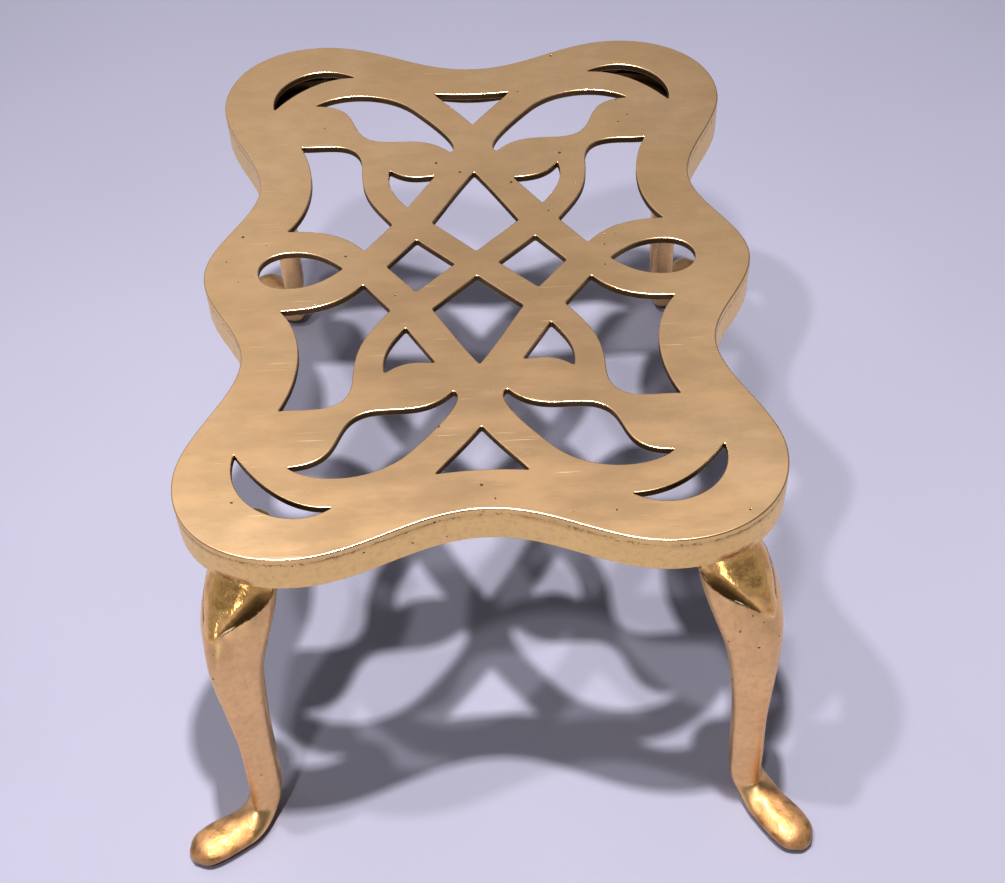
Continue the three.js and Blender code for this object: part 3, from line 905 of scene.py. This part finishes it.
def skirt_material():
    """Duller than the plate, with pits, brown patches, stains, and a broken dark seam where the plate lies on
    it.
    """
    nodes = Surface("skirt_brass")
    cloud = nodes.noise(30.0, 5.0, 0.65)
    mottle = nodes.noise(420.0, 4.0, 0.7)
    grain = nodes.noise(900.0, 3.0, 0.6)
    pits = nodes.pits(spacing=0.004, radius=0.0006)
    height = nodes.add("ShaderNodeSeparateXYZ", {"Vector": nodes.place}).outputs["Z"]
    wander = nodes.math("MULTIPLY_ADD", nodes.noise(180.0, 2.0), 0.0012, -0.0006)
    off_seam = nodes.math("SUBTRACT", nodes.math("ADD", height, wander), PLATE_BOTTOM * MM)
    off_seam = nodes.math("ABSOLUTE", off_seam)
    seam = nodes.step(nodes.noise(75.0, 3.0, 0.6), 0.46, 0.66)
    seam = nodes.times(nodes.fall(off_seam, *SEAM_HALF), seam)
    crumbs = nodes.step(nodes.noise(700.0, 2.0), 0.58, 0.64)
    crumbs = nodes.times(nodes.fall(off_seam, *CRUMBS_REACH), crumbs)
    dark = nodes.math("MAXIMUM", pits, nodes.times(nodes.math("MAXIMUM", seam, crumbs), 0.4))
    colour = nodes.mix(nodes.step(cloud, 0.3, 0.72), SKIRT_DEEP, SKIRT_PALE)
    colour = nodes.mix(nodes.step(mottle, 0.45, 0.7, 0.0, 0.35), colour, SKIRT_MOTTLE)
    low = nodes.fall(height, *((SKIRT_BOTTOM + up) * MM for up in KNEE_PATCH_HEIGHT))
    patchy_low = nodes.times(low, nodes.step(mottle, 0.25, 0.6))
    for patch_place in KNEE_PATCHES:
        middle = tuple(c * MM for c in patch_place)
        away = nodes.add("ShaderNodeVectorMath", {0: nodes.place, 1: middle}, operation="DISTANCE")
        near = nodes.fall(away.outputs["Value"], *KNEE_PATCH_REACH)
        colour = nodes.mix(nodes.times(near, patchy_low), colour, SKIRT_BROWN_PATCH)
    by_seam = nodes.times(nodes.fall(off_seam, 0.0, SEAM_STAIN, 0.35), nodes.step(cloud, 0.4, 0.6))
    colour = nodes.mix(by_seam, colour, SKIRT_STAIN)
    colour = nodes.mix(dark, colour, SKIRT_PIT)
    rough = nodes.blend(nodes.step(cloud, 0.3, 0.7), 0.28, 0.40)
    rough = nodes.blend(dark, rough, 0.65)
    normal = nodes.bump(nodes.noise(24.0, 1.0), 0.0008)
    normal = nodes.bump(grain, 0.00001, normal)
    normal = nodes.bump(dark, -PIT_DEPTH, normal)
    nodes.shade(Base_Color=colour, Roughness=rough, Normal=normal)
    return nodes.material


SHANK_DEEP = (0.90, 0.63, 0.35, 1)
SHANK_PALE = (0.98, 0.70, 0.40, 1)
SHANK_MOTTLE = (0.70, 0.47, 0.26, 1)
SHANK_STREAK = (0.64, 0.45, 0.30, 1)
SHANK_PIT = (0.14, 0.08, 0.04, 1)
KNEE_PALE = (1.0, 0.70, 0.33, 1)
KNEE_DEEP = (0.98, 0.63, 0.27, 1)
# Painted glint along the knee's border
KNEE_GLINT = (1.0, 0.83, 0.55, 1)
# Painted shade in the knee's hollows: at their border, and darker in their middle
HOLLOW_BORDER_SHADE = (0.34, 0.21, 0.07, 1)
HOLLOW_MIDDLE_SHADE = (0.10, 0.06, 0.02, 1)
PAD_PALE = (0.64, 0.42, 0.235, 1)
PAD_DEEP = (0.50, 0.31, 0.14, 1)


def leg_material():
    """Satin shank with specks, polished knee with painted shade in its hollows and a painted glint on its
    border, and a glossy pad.
    """
    nodes = Surface("leg_brass")
    zones = [nodes.add("ShaderNodeAttribute", attribute_name=zone).outputs["Fac"] for zone in ZONES]
    knee, foot, hollow = zones
    cloud = nodes.noise(30.0, 4.0, 0.6)
    filed = nodes.drawn_noise((700, 700, 45), 2.0, 0.6)
    mottle = nodes.noise(300.0, 4.0, 0.7)
    grain = nodes.noise(1100.0, 2.0, 0.5)
    lumps = nodes.noise(150.0, 2.0)
    ragged = nodes.math("MULTIPLY_ADD", nodes.noise(180.0, 3.0), 2.4, -1.2)
    on_knee = nodes.step(nodes.math("ADD", knee, ragged), -0.4, 0.4)
    on_foot = nodes.step(nodes.math("ADD", foot, ragged), -5.0, 4.0)
    polished = nodes.math("MAXIMUM", on_knee, on_foot)
    long_pits = nodes.pits(spacing=0.004, radius=0.0005, length=3.0)
    pits = nodes.math("MAXIMUM", nodes.pits(spacing=0.0035, radius=0.0006), long_pits)
    pits = nodes.blend(polished, pits, 0.0)
    # Painted glint: a broken cream line along the knee's border, which is also rougher there
    rim = nodes.times(nodes.step(knee, 0.1, 0.5), nodes.fall(knee, 0.9, 1.5))
    rim = nodes.times(rim, nodes.step(nodes.noise(110.0, 3.0), 0.5, 0.58))
    # Painted shade: the knee's hollows are darkened, a painted reflection of the shade under the stand
    hollow_shade = nodes.math("MULTIPLY_ADD", nodes.noise(400.0, 3.0), 3.0, -1.5)
    hollow_shade = nodes.math("ADD", hollow, hollow_shade)

    satin = nodes.mix(nodes.step(cloud, 0.35, 0.7), SHANK_DEEP, SHANK_PALE)
    satin = nodes.mix(nodes.step(mottle, 0.4, 0.7, 0.0, 0.35), satin, SHANK_MOTTLE)
    satin = nodes.mix(nodes.step(filed, 0.6, 0.75, 0.0, 0.3), satin, SHANK_STREAK)
    gold = nodes.mix(nodes.step(filed, 0.38, 0.62), KNEE_PALE, KNEE_DEEP)
    gold = nodes.mix(nodes.step(hollow_shade, -0.5, 2.5, 0.0, 0.9), gold, HOLLOW_BORDER_SHADE)
    gold = nodes.mix(nodes.step(hollow_shade, 2.0, 6.5, 0.0, 0.9), gold, HOLLOW_MIDDLE_SHADE)
    gold = nodes.mix(rim, gold, KNEE_GLINT)
    pad = nodes.mix(nodes.step(lumps, 0.4, 0.62), PAD_PALE, PAD_DEEP)
    colour = nodes.mix(on_foot, nodes.mix(on_knee, satin, gold), pad)
    colour = nodes.mix(pits, colour, SHANK_PIT)

    knee_rough = nodes.blend(nodes.step(knee, 6.0, 16.0), nodes.blend(filed, 0.05, 0.24), 0.24)
    knee_rough = nodes.blend(rim, knee_rough, 0.5)
    pad_rough = nodes.blend(nodes.step(lumps, 0.45, 0.7), 0.66, 0.4)
    rough = nodes.blend(nodes.step(cloud, 0.3, 0.7), 0.34, 0.44)
    rough = nodes.blend(on_knee, rough, knee_rough)
    rough = nodes.blend(on_foot, rough, pad_rough)

    normal = nodes.bump(nodes.noise(70.0, 2.0), 0.0004)
    normal = nodes.bump(nodes.times(polished, lumps), 0.0002, normal)
    normal = nodes.bump(nodes.times(polished, filed), 0.00016, normal)
    normal = nodes.bump(grain, 0.00001, normal)
    normal = nodes.bump(pits, -PIT_DEPTH, normal)
    nodes.shade(Base_Color=colour, Roughness=rough, Normal=normal, Coat_Weight=on_foot)
    nodes.shader.inputs["Coat Roughness"].default_value = 0.06
    return nodes.material


# Old oxidised brass under the top and on sawn walls, made darker still as painted shade
SHADED_INNER_COLOUR = (0.22, 0.15, 0.08)
SCREW_COLOUR = (0.55, 0.40, 0.20)
DULLED = 0.6


def inner_material(name, colour):
    """Old dull brass, for what lies under the top."""
    nodes = Surface(name)
    cloud = nodes.noise(60.0, 4.0, 0.6)
    dull = tuple(c * DULLED for c in colour)
    nodes.shade(
        Base_Color=nodes.mix(nodes.step(cloud, 0.35, 0.65), (*colour, 1), (*dull, 1)),
        Roughness=nodes.blend(cloud, 0.4, 0.65),
        Normal=nodes.bump(nodes.noise(500.0, 3.0), 0.00004),
    )
    return nodes.material


FLOOR_DEEP = (0.345, 0.34, 0.42, 1)
FLOOR_PALE = (0.375, 0.37, 0.455, 1)


def floor_material():
    nodes = Surface("pale_floor", metallic=0.0)
    nodes.shade(Base_Color=nodes.mix(nodes.noise(6.0, 2.0), FLOOR_DEEP, FLOOR_PALE))
    nodes.shader.inputs["Roughness"].default_value = 0.8
    return nodes.material


# Pieces

# Dull brass for sawn walls and what lies under the top, darkened as painted shade
dull_shaded_brass = inner_material("dull_shaded_brass", SHADED_INNER_COLOUR)
skirt_brass = skirt_material()
top = linked("pierced_top", top_mesh(), top_material(), dull_shaded_brass, skirt_brass)
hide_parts("top_plate")
band = linked("skirt_band", skirt_mesh(), skirt_brass, dull_shaded_brass)
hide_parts("skirt")
leg_brass = leg_material()
legs = [leg_piece(corner, leg_brass, dull_shaded_brass) for corner in CORNERS]
for piece in (top, band, *legs):
    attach(piece, "root")

screw_brass = inner_material("screw_brass", SCREW_COLOUR)
for name in SCREWS:
    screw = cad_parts[name]
    for slot in screw.material_slots:
        slot.material = screw_brass
    soften = screw.modifiers.new("soften", "BEVEL")
    soften.width = SCREW_ARRIS * MM
    soften.segments = 2


# Floor, light and camera, in metres

FLOOR_HALF = 1.2

# Each lamp's place, what it points at, its size and its watts
LAMPS = {
    "overhead": ((0.012, -0.118, 1.078), (0, 0, 0.1), 0.032, 12),
    "overhead_left": ((-0.225, -0.099, 1.015), (0, 0, 0.1), 0.034, 3.4),
    "over_camera": ((-0.39, -1.28, 2.6), (0, -0.1, 0.1), 0.14, 25),
}
LAMP_COLOUR = (1.0, 0.985, 0.96)

# Light of the room's walls by height, where 0 is straight down, 0.5 the horizon and 1 straight up
WALLS = [(0.0, 0.5), (0.5, 0.52), (0.57, 0.46), (0.65, 0.26), (0.8, 0.13), (1.0, 0.06)]

# Light added round the way to the pale ceiling and to the window, by the angle from it
CEILING_WAY = Vector((-0.3, 0.34, 0.94)).normalized()
CEILING = [(90, 0.0), (70, 0.0), (50, 0.18), (34, 0.5), (26, 0.61), (17, 0.75), (0, 0.86)]
WINDOW_WAY = Vector((-0.2, -1, 0.0)).normalized()
WINDOW = [(90, 0.0), (11, 0.0), (8, 1.6), (0, 2.0)]

# The room's light is a little blue: so many times its red and green
ROOM_BLUE = 1.03

# The photograph's contrast is strong, and this gamma follows it
PICTURE_GAMMA = 0.7


def floor_mesh():
    mesh = bpy.data.meshes.new("floor")
    corners = [(x * FLOOR_HALF, y * FLOOR_HALF, 0) for x, y in ((-1, -1), (1, -1), (1, 1), (-1, 1))]
    mesh.from_pydata(corners, [], [(0, 1, 2, 3)])
    return mesh


def lamp(name, place, target, size, watts):
    """A square lamp, turned to its target."""
    data = bpy.data.lights.new(name, "AREA")
    data.size = size
    data.energy = watts
    data.color = LAMP_COLOUR
    piece = bpy.data.objects.new(name, data)
    piece.location = place
    piece.rotation_euler = (Vector(target) - Vector(place)).to_track_quat("-Z", "Y").to_euler()
    bpy.context.scene.collection.objects.link(piece)


def light_ramp(nodes, value, stops):
    """Light by a value, through stops that start at 0 and end at 1."""
    ramp = nodes.add("ShaderNodeValToRGB", {0: value})
    elements = ramp.color_ramp.elements
    for place, _ in stops[1:-1]:
        elements.new(place)
    for element, (_, light) in zip(elements, stops):
        element.color = (light, light, light * ROOM_BLUE, 1)
    return ramp.outputs[0]


def room_light():
    """The walls' light, with the ceiling's and the window's added."""
    world = bpy.data.worlds.new("studio")
    bpy.context.scene.world = world
    nodes = Nodes(world)
    way = nodes.coordinates["Generated"]
    height = nodes.add("ShaderNodeSeparateXYZ", {0: way}).outputs["Z"]
    height = nodes.add("ShaderNodeMapRange", {"Value": height, "From Min": -1}).outputs[0]
    light = light_ramp(nodes, height, WALLS)
    for middle, stops in ((CEILING_WAY, CEILING), (WINDOW_WAY, WINDOW)):
        toward = nodes.add("ShaderNodeVectorMath", {0: way, 1: middle}, operation="DOT_PRODUCT")
        by_cosine = [(math.cos(math.radians(angle)), glow) for angle, glow in stops]
        glow = light_ramp(nodes, toward.outputs["Value"], by_cosine)
        light = nodes.add("ShaderNodeVectorMath", {0: light, 1: glow}, operation="ADD").outputs[0]
    nodes.put(light, nodes.tree.nodes["Background"].inputs["Color"])


def camera():
    """The camera at the photograph's place."""
    data = bpy.data.cameras.new("camera")
    data.sensor_fit = "HORIZONTAL"
    data.sensor_width = SENSOR
    data.lens = FOCAL_PIXELS * SENSOR / FRAME_WIDTH
    data.clip_start = 0.01
    piece = bpy.data.objects.new("camera", data)
    place = Vector(CAMERA_PLACE)
    aim = (Vector(CAMERA_TARGET) - place).to_track_quat("-Z", "Y")
    roll = Quaternion((0, 0, 1), math.radians(-CAMERA_ROLL))
    piece.matrix_world = Matrix.Translation(place * MM) @ (aim @ roll).to_matrix().to_4x4()
    bpy.context.scene.collection.objects.link(piece)
    bpy.context.scene.camera = piece


linked("floor", floor_mesh(), floor_material())
for name, values in LAMPS.items():
    lamp(name, *values)
room_light()
camera()
bpy.context.scene.view_settings.view_transform = "Standard"
bpy.context.scene.view_settings.gamma = PICTURE_GAMMA
